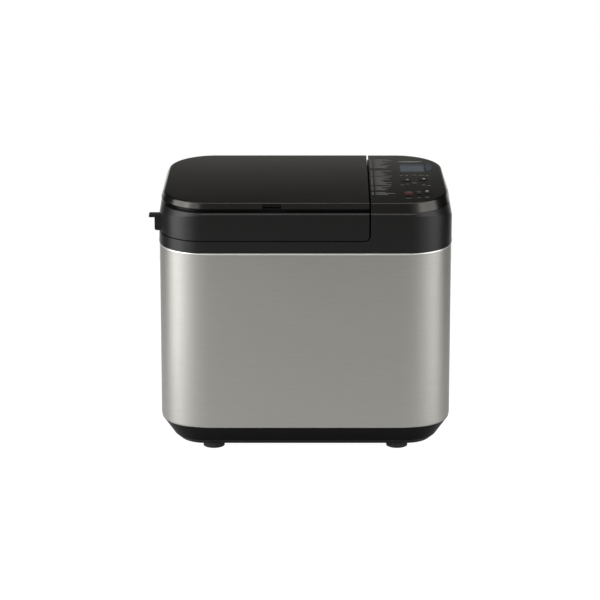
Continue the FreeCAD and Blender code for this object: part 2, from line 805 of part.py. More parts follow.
def pan_handle():
    """Bail handle, folded towards the front over the pan's mouth."""
    inner = pan_width / 2 + pan_rim + move_gap
    outer = inner + handle_strip
    handle = rod_x(oven_x - outer, oven_x + outer, -handle_reach, handle_z, handle_bar)
    for side in (-1, 1):
        x0 = min(oven_x + side * inner, oven_x + side * outer)
        eye = rod_x(x0, x0 + handle_strip, 0, handle_z, handle_eye)
        strip = box(x0, x0 + handle_strip, -handle_reach, 0, handle_z - handle_bar, handle_z + handle_bar)
        bore = rod_x(x0 - overshoot, x0 + handle_strip + overshoot, 0, handle_z, ear_pin + shaft_gap)
        handle = handle.fuse(eye.fuse(strip).cut(bore))
    return handle


def dogs(z0, z1, turn):
    """A pair of coupling dogs: ring sectors a half turn apart."""
    sectors = []
    for start in (turn, turn + dog_pitch):
        sector = Part.makeCylinder(coupling_radius, z1 - z0, V(oven_x, 0, z0), V(0, 0, 1), dog_angle)
        sector.rotate(V(oven_x, 0, 0), V(0, 0, 1), start - dog_angle / 2)
        sectors.append(sector.cut(post(oven_x, 0, z0 - overshoot, z1 + overshoot, dog_inner_radius)))
    return sectors


def drive_coupling():
    """Driving half of the dog coupling, on the drive shaft's end."""
    hub = ring(oven_x, 0, coupling_z, dog_z, coupling_radius, shaft_radius + seat_gap)
    return hub.multiFuse(dogs(dog_z - seat_gap, dog_z + dog_height, 0.0))


def pan_coupling():
    """Driven half of the dog coupling, on the pan shaft's foot."""
    hub = ring(oven_x, 0, pan_hub_z, pan_hub_z + coupling_hub, coupling_radius, pan_shaft_radius + seat_gap)
    return hub.multiFuse(dogs(pan_hub_z - dog_height, pan_hub_z + seat_gap, dog_pitch / 2))


def pan_shaft():
    """Shaft through the pan's floor, from the coupling to the blade."""
    return post(oven_x, 0, pan_hub_z, blade_z + blade_height, pan_shaft_radius)


def kneading_blade():
    """Kneading blade: a hub with one swept paddle."""
    hub = post(oven_x, 0, blade_z, blade_z + blade_hub_height, blade_hub)
    half = blade_thickness / 2
    paddle = box(oven_x, oven_x + blade_length, -half, half, blade_z, blade_z + blade_height)
    end = [e for e in paddle.Edges if near(e.CenterOfMass.x, oven_x + blade_length)]
    high_tip = [e for e in end if near(e.CenterOfMass.y, 0) and e.CenterOfMass.z > blade_z + half]
    paddle = paddle.makeFillet(blade_height / 2, high_tip)
    bore = post(oven_x, 0, blade_z - overshoot, blade_z + blade_height + overshoot, pan_shaft_radius + seat_gap)
    return hub.fuse(paddle).cut(bore)


def liner_size(inset=0.0):
    """Width, depth and corner radius of the lid's liner, drawn in by an inset."""
    grow = 2 * liner_margin - 2 * inset
    return chamber_width + grow, chamber_depth + grow, chamber_radius + liner_margin - inset


def lid_liner():
    """Metal liner inside the lid, open below, with the dispenser's hole."""
    ceiling = lid_deck_z - liner_ceiling
    liner = slab(*liner_size(), liner_z, ceiling, oven_x)
    liner = liner.cut(slab(*liner_size(liner_wall), liner_z - overshoot, ceiling - liner_wall, oven_x))
    hole = slab(dispenser_width + 2 * seat_gap, dispenser_depth + 2 * seat_gap, dispenser_flange,
                liner_z, ceiling + overshoot, oven_x, dispenser_y)
    return liner.cut(hole)


def liner_posts():
    """Posts that hang the liner from the lid's deck."""
    width, depth, radius = liner_size()
    places = corners(width / 2 - radius, depth / 2 - radius, oven_x)
    return [post(x, y, lid_deck_z - liner_ceiling, lid_deck_z, liner_post_radius) for x, y in places]


def lid_gasket():
    """Silicone ring under the liner's edge."""
    gasket = slab(*liner_size(), liner_z - gasket_thickness, liner_z, oven_x)
    middle = slab(*liner_size(gasket_width), liner_z - 2 * gasket_thickness, liner_z + overshoot, oven_x)
    return gasket.cut(middle)


def dispenser_box():
    """Ingredient box through the lid, open above and below, with ears for its flap."""
    size = (dispenser_width, dispenser_depth, dispenser_flange)
    walls = slab(*size, dispenser_z, wall_z, oven_x, dispenser_y)
    grow = 2 * dispenser_flange
    flange = slab(dispenser_width + grow, dispenser_depth + grow, 2 * dispenser_flange,
                  wall_z, wall_z + dispenser_flange_thickness, oven_x, dispenser_y)
    inner = slab(dispenser_width - 2 * dispenser_wall, dispenser_depth - 2 * dispenser_wall,
                 dispenser_flange - dispenser_wall, dispenser_z - overshoot, top_z, oven_x, dispenser_y)
    dispenser = walls.fuse(flange).cut(inner)
    back = dispenser_y + dispenser_depth / 2 - dispenser_wall / 2
    for x in flap_ear_places():
        x1 = x + flap_hinge_length
        ear = box(x, x1, back, flap_hinge_y, flap_hinge_z, flap_hinge_z + 2 * flap_knuckle)
        ear = ear.fuse(rod_x(x, x1, flap_hinge_y, flap_hinge_z, flap_knuckle))
        ear = ear.cut(rod_x(x - overshoot, x1 + overshoot, flap_hinge_y, flap_hinge_z, flap_pin + seat_gap))
        dispenser = dispenser.fuse(ear)
    return dispenser


def flap_ear_places():
    """Where the box's two ears start, one at each end of its back wall."""
    return [oven_x - dispenser_width / 2, oven_x + dispenser_width / 2 - flap_hinge_length]


def flap_pin_rod():
    """Pin along the dispenser's back edge, through its ears."""
    half = dispenser_width / 2
    return rod_x(oven_x - half, oven_x + half, flap_hinge_y, flap_hinge_z, flap_pin)


def dispenser_flap():
    """Trapdoor under the dispenser, hinged along its back edge."""
    half = dispenser_width / 2
    front = dispenser_y - dispenser_depth / 2
    inner = half - flap_hinge_length - hinge_side_gap
    barrel = rod_x(oven_x - inner, oven_x + inner, flap_hinge_y, flap_hinge_z, flap_knuckle)
    wide = box(oven_x - half, oven_x + half, front, flap_hinge_y - flap_knuckle - hinge_side_gap,
               flap_z, flap_z + flap_thickness)
    tongue = box(oven_x - inner, oven_x + inner, front, flap_hinge_y, flap_z, flap_z + flap_thickness)
    bore = rod_x(oven_x - half, oven_x + half, flap_hinge_y, flap_hinge_z, flap_pin + shaft_gap)
    return barrel.fuse(tongue).fuse(wide).cut(bore)


def chassis_plate():
    """Steel plate on the base's posts that carries the oven and the motor."""
    width = body_width - 2 * chassis_inset_x
    depth = body_depth - 2 * chassis_inset_y
    plate = slab(width, depth, chassis_corner, chassis_z, chassis_top_z)
    holes = [(oven_x, 0, bush_radius), (motor_x, 0, 2 * motor_shaft_radius)]
    holes += [(x, y, screw_radius) for x, y in corners(post_x, post_y)]
    holes += [(x, y, screw_radius) for x, y in motor_screw_places()]
    for x, y, radius in holes:
        plate = plate.cut(post(x, y, chassis_z - overshoot, chassis_top_z + overshoot, radius + seat_gap))
    return plate


def chassis_screws():
    """Screws that hold the chassis to the base's posts."""
    return [screw(x, y, chassis_top_z) for x, y in corners(post_x, post_y)]


def motor_screw_places():
    """The four screw places round the motor's axis."""
    reach = motor_screw_circle / math.sqrt(2.0)
    return corners(reach, reach, motor_x)


def motor_screws():
    """Screws up through the chassis into the motor's end."""
    screws = []
    for x, y in motor_screw_places():
        shank = post(x, y, chassis_z, chassis_z + screw_length, screw_radius)
        screws.append(shank.fuse(post(x, y, chassis_z - screw_head_height, chassis_z, screw_head)))
    return screws


def motor_body():
    """Upright motor standing on the chassis, bored for its shaft and screws."""
    motor = post(motor_x, 0, chassis_top_z, chassis_top_z + motor_height, motor_radius)
    bore_top = chassis_top_z + motor_shaft_depth + move_gap
    motor = motor.cut(post(motor_x, 0, chassis_z, bore_top, motor_shaft_radius + shaft_gap))
    for x, y in motor_screw_places():
        motor = motor.cut(post(x, y, chassis_z, chassis_z + screw_length + overshoot, screw_radius + seat_gap))
    return motor


def motor_shaft():
    """Motor shaft, from the small pulley up into the motor."""
    return post(motor_x, 0, pulley_z, chassis_top_z + motor_shaft_depth, motor_shaft_radius)


def pulley(x, radius, bore):
    """Flanged pulley for the flat belt."""
    wheel = post(x, 0, pulley_z, pulley_z + pulley_height, radius)
    for z in (pulley_z, pulley_z + pulley_height - pulley_flange):
        wheel = wheel.fuse(post(x, 0, z, z + pulley_flange, radius + pulley_flange))
    return wheel.cut(post(x, 0, pulley_z - overshoot, pulley_z + pulley_height + overshoot, bore + seat_gap))


def large_pulley():
    """Driven pulley on the drive shaft, lightened by a ring of windows."""
    wheel = pulley(oven_x, large_pulley_radius, shaft_radius)
    reach = (large_pulley_radius + shaft_radius) / 2
    for turn in range(5):
        angle = 2 * math.pi * turn / 5
        x = oven_x + reach * math.cos(angle)
        y = reach * math.sin(angle)
        wheel = wheel.cut(post(x, y, pulley_z - overshoot, pulley_z + pulley_height + overshoot, pulley_window))
    return wheel


def belt_solid(offset, z0, z1):
    """Solid inside a belt line round both pulleys: two arcs joined by their tangents."""
    large = large_pulley_radius + offset
    small = small_pulley_radius + offset
    lean = math.acos((large - small) / (motor_x - oven_x))
    upright = V(0, 0, 1)
    wide = Part.ArcOfCircle(Part.Circle(V(oven_x, 0, z0), upright, large), lean, 2 * math.pi - lean).toShape()
    tight = Part.ArcOfCircle(Part.Circle(V(motor_x, 0, z0), upright, small), -lean, lean).toShape()
    lower = Part.makeLine(wide.lastVertex().Point, tight.firstVertex().Point)
    upper = Part.makeLine(tight.lastVertex().Point, wide.firstVertex().Point)
    return Part.Face(Part.Wire([wide, lower, tight, upper])).extrude(V(0, 0, z1 - z0))


def drive_belt():
    """Flat belt round both pulleys, shown at rest."""
    z0 = pulley_z + pulley_flange + move_gap
    z1 = pulley_z + pulley_height - pulley_flange - move_gap
    inside = belt_solid(move_gap, z0 - overshoot, z1 + overshoot)
    return belt_solid(move_gap + belt_thickness, z0, z1).cut(inside)


def drive_shaft():
    """Shaft from the large pulley up to the drive coupling."""
    return post(oven_x, 0, pulley_z, dog_z, shaft_radius)


def shaft_bush():
    """Plain bearing of the drive shaft."""
    return ring(oven_x, 0, chassis_z, chamber_z, bush_radius, shaft_radius + shaft_gap)


def bearing_housing():
    """Boss on the chassis round the bush, under the oven's floor."""
    return ring(oven_x, 0, chassis_top_z, chamber_z, housing_radius, bush_radius + seat_gap)


def board_bracket():
    """Upright bracket on the chassis, with stand-offs for the power board."""
    half = bracket_width / 2
    x1 = bracket_x + bracket_thickness
    upright = box(bracket_x, x1, -half, half, bracket_z, bracket_z + bracket_height)
    sole = box(bracket_x - bracket_foot, x1, -half, half, bracket_z, bracket_z + bracket_thickness)
    bracket = upright.fuse(sole)
    middle = bracket_z + bracket_height / 2
    for y, z in corners(half - stand_inset, bracket_height / 2 - stand_inset, 0, middle):
        bracket = bracket.fuse(rod_x(bracket_x, x1 + board_stand, y, z, screw_head))
    return bracket


def power_board():
    """Circuit board that feeds the heater and the motor."""
    half = bracket_width / 2
    x = bracket_x + bracket_thickness + board_stand
    return box(x, x + board_thickness, -half, half, bracket_z + bracket_foot, bracket_z + bracket_height)


def power_components():
    """Transformer, relay and capacitor on the power board."""
    x = bracket_x + bracket_thickness + board_stand + board_thickness
    x1 = x + power_parts_height
    z = bracket_z + bracket_height / 2
    reach = bracket_width / 4
    size = bracket_width / 8
    transformer = box(x, x1, -reach - size, -reach + size, z - size, z + size)
    relay = box(x, x1, reach - size, reach + size, z, z + size)
    capacitor = rod_x(x, x1, reach, z - size, size / 2)
    return [transformer, relay, capacitor]


def cord_gland():
    """Bushing in the back of the sleeve where the cord goes in."""
    outside = half_depth + gland_flange_thickness
    inside = half_depth - gland_length
    gland = rod_y(gland_x, inside, outside, gland_z, gland_radius)
    gland = gland.fuse(rod_y(gland_x, half_depth, outside, gland_z, gland_flange))
    nut = rod_y(gland_x, inside, half_depth - sleeve_wall, gland_z, gland_flange)
    return gland.fuse(nut).cut(rod_y(gland_x, inside - overshoot, outside + overshoot, gland_z, gland_bore))


foot_names = ["foot_front_left", "foot_back_left", "foot_front_right", "foot_back_right"]
pieces = {
    "base_tray": base_tray(),
    "outer_sleeve": outer_sleeve(),
    "top_frame": top_frame(),
    "lid_hinge_rods": lid_hinge_rods(),
    "console_fascia": console_fascia(),
    "lcd_window": lcd_window(),
    "lcd_module": lcd_module(),
    "control_board": control_board(),
    "key_switches": key_switches(),
    "oven_chamber": oven_chamber(),
    "chamber_spacers": chamber_spacers(),
    "heater_element": heater_element(),
    "temperature_sensor": temperature_sensor(),
    "pan_socket": pan_socket(),
    "chassis_plate": chassis_plate(),
    "chassis_screws": chassis_screws(),
    "bearing_housing": bearing_housing(),
    "shaft_bush": shaft_bush(),
    "motor_body": motor_body(),
    "motor_screws": motor_screws(),
    "drive_belt": drive_belt(),
    "board_bracket": board_bracket(),
    "power_board": power_board(),
    "power_components": power_components(),
    "cord_gland": cord_gland(),
    "lid_shell": lid_shell(),
    "lid_liner": lid_liner(),
    "liner_posts": liner_posts(),
    "lid_gasket": lid_gasket(),
    "dispenser_box": dispenser_box(),
    "plate_hinge_pins": plate_hinge_pins(),
    "flap_pin": flap_pin_rod(),
    "top_plate": top_plate(),
    "dispenser_flap": dispenser_flap(),
    "bread_pan": bread_pan(),
    "pan_base": pan_base(),
    "pan_bearing": pan_bearing(),
    "handle_ears": handle_ears(),
    "pan_handle": pan_handle(),
    "pan_shaft": pan_shaft(),
    "pan_coupling": pan_coupling(),
    "kneading_blade": kneading_blade(),
    "drive_shaft": drive_shaft(),
    "drive_coupling": drive_coupling(),
    "large_pulley": large_pulley(),
    "motor_shaft": motor_shaft(),
    "small_pulley": pulley(motor_x, small_pulley_radius, motor_shaft_radius),
}
for name, place in zip(foot_names, corners(foot_x, foot_y)):
    pieces[name] = foot(*place)
for name, sizes in zip(keys, key_layout()):
    pieces[name] = key(*sizes)

os.makedirs("parts", exist_ok=True)
for name, shape in pieces.items():
    whole = Part.makeCompound(shape) if isinstance(shape, list) else shape.removeSplitter()
    whole.translate(V(body_x, 0, 0))
    whole.exportStep("parts/" + name + ".step")
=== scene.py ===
# %% [markdown]
# # A countertop bread machine
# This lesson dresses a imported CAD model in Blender. The frame holds every piece at its real size
# in metres, so new pieces go where the solids say. We add finishes and the thin trim that the
# solids don't carry, then light the machine and frame the view.

# %% Load the frame
import math

import bpy
import numpy as np
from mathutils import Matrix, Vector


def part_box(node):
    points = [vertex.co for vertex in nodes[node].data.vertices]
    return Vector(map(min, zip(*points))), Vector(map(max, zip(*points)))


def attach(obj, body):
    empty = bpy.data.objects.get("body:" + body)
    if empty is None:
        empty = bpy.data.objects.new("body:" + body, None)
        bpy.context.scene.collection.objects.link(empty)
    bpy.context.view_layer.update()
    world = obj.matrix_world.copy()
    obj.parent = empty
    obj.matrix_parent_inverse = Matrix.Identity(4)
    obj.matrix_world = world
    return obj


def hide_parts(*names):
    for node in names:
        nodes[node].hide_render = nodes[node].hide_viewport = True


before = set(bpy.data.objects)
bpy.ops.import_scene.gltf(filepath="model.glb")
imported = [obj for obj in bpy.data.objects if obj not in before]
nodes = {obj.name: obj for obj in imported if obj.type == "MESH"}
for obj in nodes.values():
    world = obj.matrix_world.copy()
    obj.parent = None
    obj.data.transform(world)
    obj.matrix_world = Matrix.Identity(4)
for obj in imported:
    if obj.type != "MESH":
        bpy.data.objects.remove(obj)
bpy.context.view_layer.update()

# %% [markdown]
# ## The camera
# A product photograph is usually taken from some way off with a long lens, which keeps upright
# edges nearly upright. The camera is placed by the angle it looks down at and by its distance. It
# could also be placed by typed coordinates, but then a small change of angle would need three new
# numbers.

# %% Camera
LOOK_AT = np.array([-0.0007, 0.0, 0.1814])
LOOK_DOWN = math.radians(18.2)
CAMERA_DISTANCE = 5.0
SENSOR_WIDTH = 36.0
FAR_CLIP = 50.0
FRAME_PIXELS = 600
PIXELS_PER_METRE = 727.0
FOCAL_PIXELS = PIXELS_PER_METRE * CAMERA_DISTANCE

camera_data = bpy.data.cameras.new("camera")
camera_data.sensor_width = SENSOR_WIDTH
camera_data.lens = FOCAL_PIXELS / FRAME_PIXELS * SENSOR_WIDTH
camera_data.clip_end = FAR_CLIP
camera = bpy.data.objects.new("camera", camera_data)
bpy.context.scene.collection.objects.link(camera)
towards_camera = np.array([0.0, -math.cos(LOOK_DOWN), math.sin(LOOK_DOWN)])
camera.location = LOOK_AT + CAMERA_DISTANCE * towards_camera
camera.rotation_euler = (math.pi / 2 - LOOK_DOWN, 0.0, 0.0)
bpy.context.scene.camera = camera
print("lens", camera_data.lens, "mm")

# %% [markdown]
# ## A small language for shaders
# Finishes are graphs of nodes. Writing the maths of a graph as Python expressions keeps a finish
# readable: the class below wraps a socket, so that `1 - mask` or `bands * 0.2` adds the Math
# nodes by itself.

# %% Sockets
class Wave:
    """One socket of a node graph; arithmetic on it adds Math nodes."""

    def __init__(self, graph, socket):
        self.graph = graph
        self.socket = socket

    def _math(self, operation, first, second):
        return self.graph.node("ShaderNodeMath", {"operation": operation}, {0: first, 1: second})

    def __add__(self, other):
        return self._math("ADD", self, other)

    __radd__ = __add__

    def __mul__(self, other):
        return self._math("MULTIPLY", self, other)

    __rmul__ = __mul__

    def __sub__(self, other):
        return self._math("SUBTRACT", self, other)

    def __rsub__(self, other):
        return self._math("SUBTRACT", other, self)


# %% [markdown]
# One method adds every kind of node, so a graph reads as a list of what feeds what. It serves
# materials and the world.

# %% Graphs
class Graph:
    """A node tree that nodes are added to one by one."""

    def __init__(self, tree):
        self.tree = tree

    def node(self, kind, settings=None, inputs=None, output=0):
        """Add a node, set its settings first and then its sockets, and wrap one of its outputs."""
        made = self.tree.nodes.new(kind)
        for key, value in (settings or {}).items():
            setattr(made, key, value)
        for key, value in (inputs or {}).items():
            if isinstance(value, Wave):
                self.tree.links.new(value.socket, made.inputs[key])
            else:
                made.inputs[key].default_value = value
        return Wave(self, made.outputs[output])

    def output(self, name, shader):
        """Send a shader to the tree's output node."""
        self.tree.links.new(shader.socket, self.tree.nodes[name].inputs["Surface"])


# %% [markdown]
# A finish is such a graph with one Principled shader. Its patterns are in Object coordinates, so
# they stay on a piece when it moves, and need no picture.

# %% Finishes
class Finish(Graph):
    """A material with a Principled shader and a few ready-made patterns."""

    def __init__(self, name):
        self.material = bpy.data.materials.new(name)
        self.material.use_nodes = True
        super().__init__(self.material.node_tree)
        self.shader = self.tree.nodes["Principled BSDF"]

    def along(self, axis, scale=(1.0, 1.0, 1.0)):
        """One Object coordinate by its letter, in metres times the scale."""
        return self.node("ShaderNodeSeparateXYZ", {}, {0: self.place(scale)}, output=axis)

    def place(self, scale):
        """Object coordinates, stretched by a scale along each axis."""
        where = self.node("ShaderNodeTexCoord", output="Object")
        return self.node("ShaderNodeMapping", {"vector_type": "POINT"},
                         {"Vector": where, "Scale": scale})

    def noise(self, scale, detail=2.0):
        """Soft noise from 0 to 1; scale counts its waves per metre along each axis."""
        return self.node("ShaderNodeTexNoise", {},
                         {"Vector": self.place(scale), "Scale": 1.0, "Detail": detail})

    def blend(self, factor, low, high):
        """A colour between two colours."""
        return self.node("ShaderNodeMix", {"data_type": "RGBA"},
                         {0: factor, 6: low, 7: high}, output=2)

    def bump(self, height, strength, distance):
        """Small relief from a height pattern."""
        return self.node("ShaderNodeBump", {},
                         {"Height": height, "Strength": strength, "Distance": distance})

    def set(self, **values):
        """Set the shader's own sockets; a Wave is linked, a number is written on the socket."""
        for key, value in values.items():
            socket = self.shader.inputs[key.replace("_", " ")]
            if isinstance(value, Wave):
                self.tree.links.new(value.socket, socket)
            else:
                socket.default_value = value
        return self


def grey(level, warm=0.0):
    """An opaque grey, warmed a little towards yellow."""
    return (level * (1 + warm / 3), level, level * (1 - warm), 1.0)


def wear(finish, *names):
    """Give CAD nodes one finish."""
    for name in names:
        slots = nodes[name].data.materials
        slots.clear()
        slots.append(finish.material)
    print(finish.material.name, "on", len(names), "nodes")


# %% [markdown]
# ## Surfaces from arrays
# Each new piece is a grid of points worked out at once as arrays, then joined into quads.
# Modelling by hand could give the same mesh, but a formula can be read, measured and changed.

# %% Meshes from grids
def surface(name, points, body, finish, wrap=(False, False)):
    """A mesh from points (rows, columns, xyz), or a stack of such grids. Each quad joins a point to
    the next in its row and its column, and wrap joins the last row or column to the first."""
    grids = points.reshape((-1,) + points.shape[-3:])
    index = np.arange(grids[..., 0].size).reshape(grids.shape[:3])
    if wrap[0]:
        index = np.concatenate([index, index[:, :1]], axis=1)
    if wrap[1]:
        index = np.concatenate([index, index[:, :, :1]], axis=2)
    corners = [index[:, :-1, :-1], index[:, :-1, 1:], index[:, 1:, 1:], index[:, 1:, :-1]]
    quads = np.stack(corners, axis=-1).reshape(-1, 4)
    mesh = bpy.data.meshes.new(name)
    mesh.from_pydata(points.reshape(-1, 3).tolist(), [], quads.tolist())
    mesh.polygons.foreach_set("use_smooth", np.ones(len(quads), dtype=bool))
    mesh.materials.append(finish.material)
    piece = bpy.data.objects.new(name, mesh)
    bpy.context.scene.collection.objects.link(piece)
    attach(piece, body)
    print(name, len(quads), "quads on", body)
    return piece


# %% [markdown]
# A sheet that runs round the machine is a section, given by how far it stands in from the outline
# and how high it is, carried along that outline. Three helpers draw the outline, carry a section
# along it and round a step of a section.

# %% Outlines and sections
def eased_outline(half_width, half_depth, inset, corner, power, steps):
    """Closed plan outline whose corners are quarters of a superellipse: across to a power plus
    along to the same power is one. A power above two eases the curve into the straight sides.
    Inset may be an array, one for each section."""
    turn = np.linspace(0.0, math.pi / 2, steps)
    across = np.cos(turn) ** (2 / power)
    along = np.sin(turn) ** (2 / power)
    size = corner - np.asarray(inset)[..., None]
    wide = half_width - corner + size * across
    deep = half_depth - corner + size * along
    flipped_wide = wide[..., ::-1]
    flipped_deep = deep[..., ::-1]
    x = np.concatenate([wide, -flipped_wide, -wide, flipped_wide], axis=-1)
    y = np.concatenate([deep, flipped_deep, -deep, -flipped_deep], axis=-1)
    return x, y


def belt(sections, half_width, half_depth, corner, power, centre, steps=40):
    """Surface carried round an eased outline; each section is an inset and a height."""
    inset, height = np.array(sections, dtype=float).T
    x, y = eased_outline(half_width, half_depth, inset, corner, power, steps)
    z = np.broadcast_to(height[:, None], x.shape)
    return np.stack([x + centre[0], y + centre[1], z], axis=-1)


def rounded_step(start, end, bulge, steps=6):
    """Points along a quarter of an ellipse from one inset and height to another. The one that bulge
    names runs ahead as the sine of the turn, and the other follows as one minus its cosine."""
    turn = np.linspace(0.0, math.pi / 2, steps)
    first, second = np.array(start, dtype=float), np.array(end, dtype=float)
    slow, fast = 1 - np.cos(turn), np.sin(turn)
    shares = np.stack([slow, fast] if bulge == "height" else [fast, slow], axis=-1)
    return [tuple(p) for p in first + (second - first) * shares]


# %% [markdown]
# The CAD sleeve's own box gives the outline that the trim follows. The sizes could be typed in
# again, but read from the frame they stay right when the model is packed at another size.

# %% Body outline
sleeve_low, sleeve_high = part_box("outer_sleeve")
half_width = (sleeve_high[0] - sleeve_low[0]) / 2
half_depth = (sleeve_high[1] - sleeve_low[1]) / 2
middle = ((sleeve_high[0] + sleeve_low[0]) / 2, (sleeve_high[1] + sleeve_low[1]) / 2)
print("body", 2 * half_width, "by", 2 * half_depth)

# %% [markdown]
# ## Brushed steel
# The sleeve is stainless sheet, brushed along its length and bent round a former, so its corners
# ease into the flat sides. The brushing leaves fine level scratches, which spread a reflection
# upright and keep it narrow sideways, so lamps show as soft upright bands. A picture of brushed
# metal could be wrapped round the sheet, but it would show a seam. Three noises make it instead:
# scratches too fine to see singly, streaks that the eye can follow, and slow clouds. All are
# stretched level.

# %% Brushed steel
MM = 0.001
SCRATCH_WAVES = (14.0, 14.0, 5200.0)
STREAK_WAVES = (40.0, 40.0, 480.0)
CLOUD_WAVES = (5.0, 5.0, 9.0)
SCRATCH_SHARE, STREAK_SHARE, CLOUD_SHARE = 0.3, 0.5, 0.2
STEEL_DARK = grey(0.312, 0.06)
STEEL_LIGHT = grey(0.382, 0.06)
STEEL_ROUGHNESS = 0.5
SCRATCH_ROUGHNESS = 0.1
SCRATCH_RELIEF = 0.12
SCRATCH_DEPTH = 0.2 * MM

steel = Finish("brushed steel")
scratches = steel.noise(SCRATCH_WAVES, detail=3.0)
streaks = steel.noise(STREAK_WAVES)
clouds = steel.noise(CLOUD_WAVES, detail=1.0)
brushing = scratches * SCRATCH_SHARE + streaks * STREAK_SHARE + clouds * CLOUD_SHARE
steel.set(
    Base_Color=steel.blend(brushing, STEEL_DARK, STEEL_LIGHT),
    Metallic=1.0,
    Roughness=STEEL_ROUGHNESS + scratches * SCRATCH_ROUGHNESS,
    Anisotropic=0.35,
    Anisotropic_Rotation=0.25,
    Normal=steel.bump(scratches, SCRATCH_RELIEF, SCRATCH_DEPTH),
)
print("brushed steel,", len(steel.tree.nodes), "shader nodes")

# %% [markdown]
# The CAD sleeve could stay, but the eased corners shade more softly than its plain ones. So a sheet
# takes its place: one closed skin, outside and inside, with its foot tucked in. Just inside each
# edge a row of points holds the wall upright, so that its shading stays flat.

# %% Sleeve sheet
EASED_CORNER = 80 * MM
EASED_POWER = 2.8
SHEET = 0.6 * MM
HOLD = 0.4 * MM
TUCK = 1.5 * MM
TUCK_HEIGHT = 3.0 * MM

foot_z, top_z = sleeve_low[2], sleeve_high[2]
outside = rounded_step((TUCK, foot_z), (0.0, foot_z + TUCK_HEIGHT), "inset")
outside += [(0.0, foot_z + TUCK_HEIGHT + HOLD), (0.0, top_z - HOLD), (0.0, top_z)]
inside = [(inset + SHEET, z) for inset, z in reversed(outside)]
skin = belt(outside + inside, half_width, half_depth, EASED_CORNER, EASED_POWER, middle)
sleeve = surface("sleeve_sheet", skin, "housing", steel, wrap=(True, True))
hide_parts("outer_sleeve")

# %% [markdown]
# The sheet's top edge is rolled out into a fine bead and polished by the tool that rolls it. It
# stands a millimetre proud of the wall, catches the light from overhead and shows as a bright
# line. Its colour is also much lighter than the sleeve's steel, a painted highlight on top of that
# real one. It could be part of the sheet's own section, but smooth shading would then tilt the
# wall's highlights, so it is a piece of its own.

# %% Rolled edge
BEAD = 1.0 * MM
BEAD_HEIGHT = 2.2 * MM
POLISH_WAVES = (30.0, 30.0, 30.0)

bright = Finish("polished edge with painted highlight")
# Painted highlight: the bead's steel is made far lighter than the sleeve's, so that its line shows
# brighter.
bright.set(
    Base_Color=bright.blend(bright.noise(POLISH_WAVES), grey(0.74, 0.02), grey(0.82, 0.02)),
    Metallic=1.0,
    Roughness=0.4,
)
crest_z = top_z - BEAD_HEIGHT / 2
bead = rounded_step((0.0, top_z - BEAD_HEIGHT), (-BEAD, crest_z), "inset")
bead += rounded_step((-BEAD, crest_z), (0.0, top_z), "height")[1:]
roll = belt(bead, half_width, half_depth, EASED_CORNER, EASED_POWER, middle)
surface("sleeve_bead", roll, "housing", bright, wrap=(False, True))

# %% [markdown]
# ## Black plastics
# The walls of the lid, collar and base are moulded with a fine matte grain, which the mould's
# etched skin gives them. The grain could be a picture, but a noise in Object coordinates has no
# seams and no end.

# %% Matte plastics
GRAIN_WAVES = (2600.0, 2600.0, 2600.0)
GRAIN_RELIEF = 0.25
GRAIN_DEPTH = 0.12 * MM
MATTE_ROUGHNESS = 0.28
GRAIN_ROUGHNESS = 0.12


def grained(name, low, high, specular):
    """Moulded plastic with a fine even grain. Specular is how much of a lamp its skin mirrors."""
    finish = Finish(name)
    grain = finish.noise(GRAIN_WAVES)
    finish.set(
        Base_Color=finish.blend(grain, grey(low), grey(high)),
        Roughness=MATTE_ROUGHNESS + grain * GRAIN_ROUGHNESS,
        Specular_IOR_Level=specular,
        Normal=finish.bump(grain, GRAIN_RELIEF, GRAIN_DEPTH),
    )
    return finish


wear(grained("matte black", low=0.003, high=0.0055, specular=0.31), "top_frame", "lid_shell")
wear(grained("base black", low=0.003, high=0.005, specular=0.03), "base_tray")

# %% [markdown]
# ## Rounded lips
# A mould can't have a sharp edge, so the top of the lid's wall and of the console's wall is a
# small round that shows as a fine light line. A Bevel on the wall would round every edge alike.
# Here a quarter of an ellipse is carried along the wall's front and shrinks to nothing as the
# corner turns.

# %% Lips along the front
LIP_WIDTH = 1.3 * MM
LIP_DROP = 1.9 * MM
LIP_CORNER = 60 * MM
LIP_TURN = math.radians(28)
LIP_CLEARANCE = 0.3 * MM
CORNER_STEPS = 16
ROUND_STEPS = 7

# Painted highlight: the lip's black is a little lighter than the wall's, added to the light that
# its round really mirrors.
lip_black_painted_highlight = grained("lip black with painted highlight", low=0.006, high=0.010, specular=1.0)


def lip(name, body, side, inner_end, z):
    """A quarter ellipse carried along the front wall from an inner end to one side and some way
    round the corner. Its size is one along the straight and falls to nothing as the square of the
    share of the turn that is left."""
    turn = np.linspace(0.0, LIP_TURN, CORNER_STEPS)
    x = side * (half_width - LIP_CORNER + LIP_CORNER * np.sin(turn))
    y = -(half_depth - LIP_CORNER + LIP_CORNER * np.cos(turn))
    path_x = np.append(inner_end, x + middle[0])
    path_y = np.append(-half_depth, y) + middle[1]
    path = np.stack([path_x, path_y], axis=-1)
    outward_x = side * np.append(0.0, np.sin(turn))
    outward_y = -np.append(1.0, np.cos(turn))
    outward = np.stack([outward_x, outward_y], axis=-1)
    size = np.append(1.0, (1 - turn / LIP_TURN) ** 2)
    round_turn = np.linspace(0.0, math.pi / 2, ROUND_STEPS)[:, None]
    inset = LIP_WIDTH * (1 - np.cos(round_turn)) * size
    height = z - LIP_DROP * (1 - np.sin(round_turn)) * size
    flat = path[None] - outward[None] * inset[..., None]
    points = np.concatenate([flat, height[..., None]], axis=-1)
    surface(name, points[:, ::side], body, lip_black_painted_highlight)


fascia_low, fascia_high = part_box("console_fascia")
plate_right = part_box("top_plate")[1][0]
lip_z = fascia_low[2] - LIP_CLEARANCE
lip("lid_lip", "lid", -1, plate_right, lip_z)
lip("console_lip", "housing", 1, fascia_low[0], lip_z)

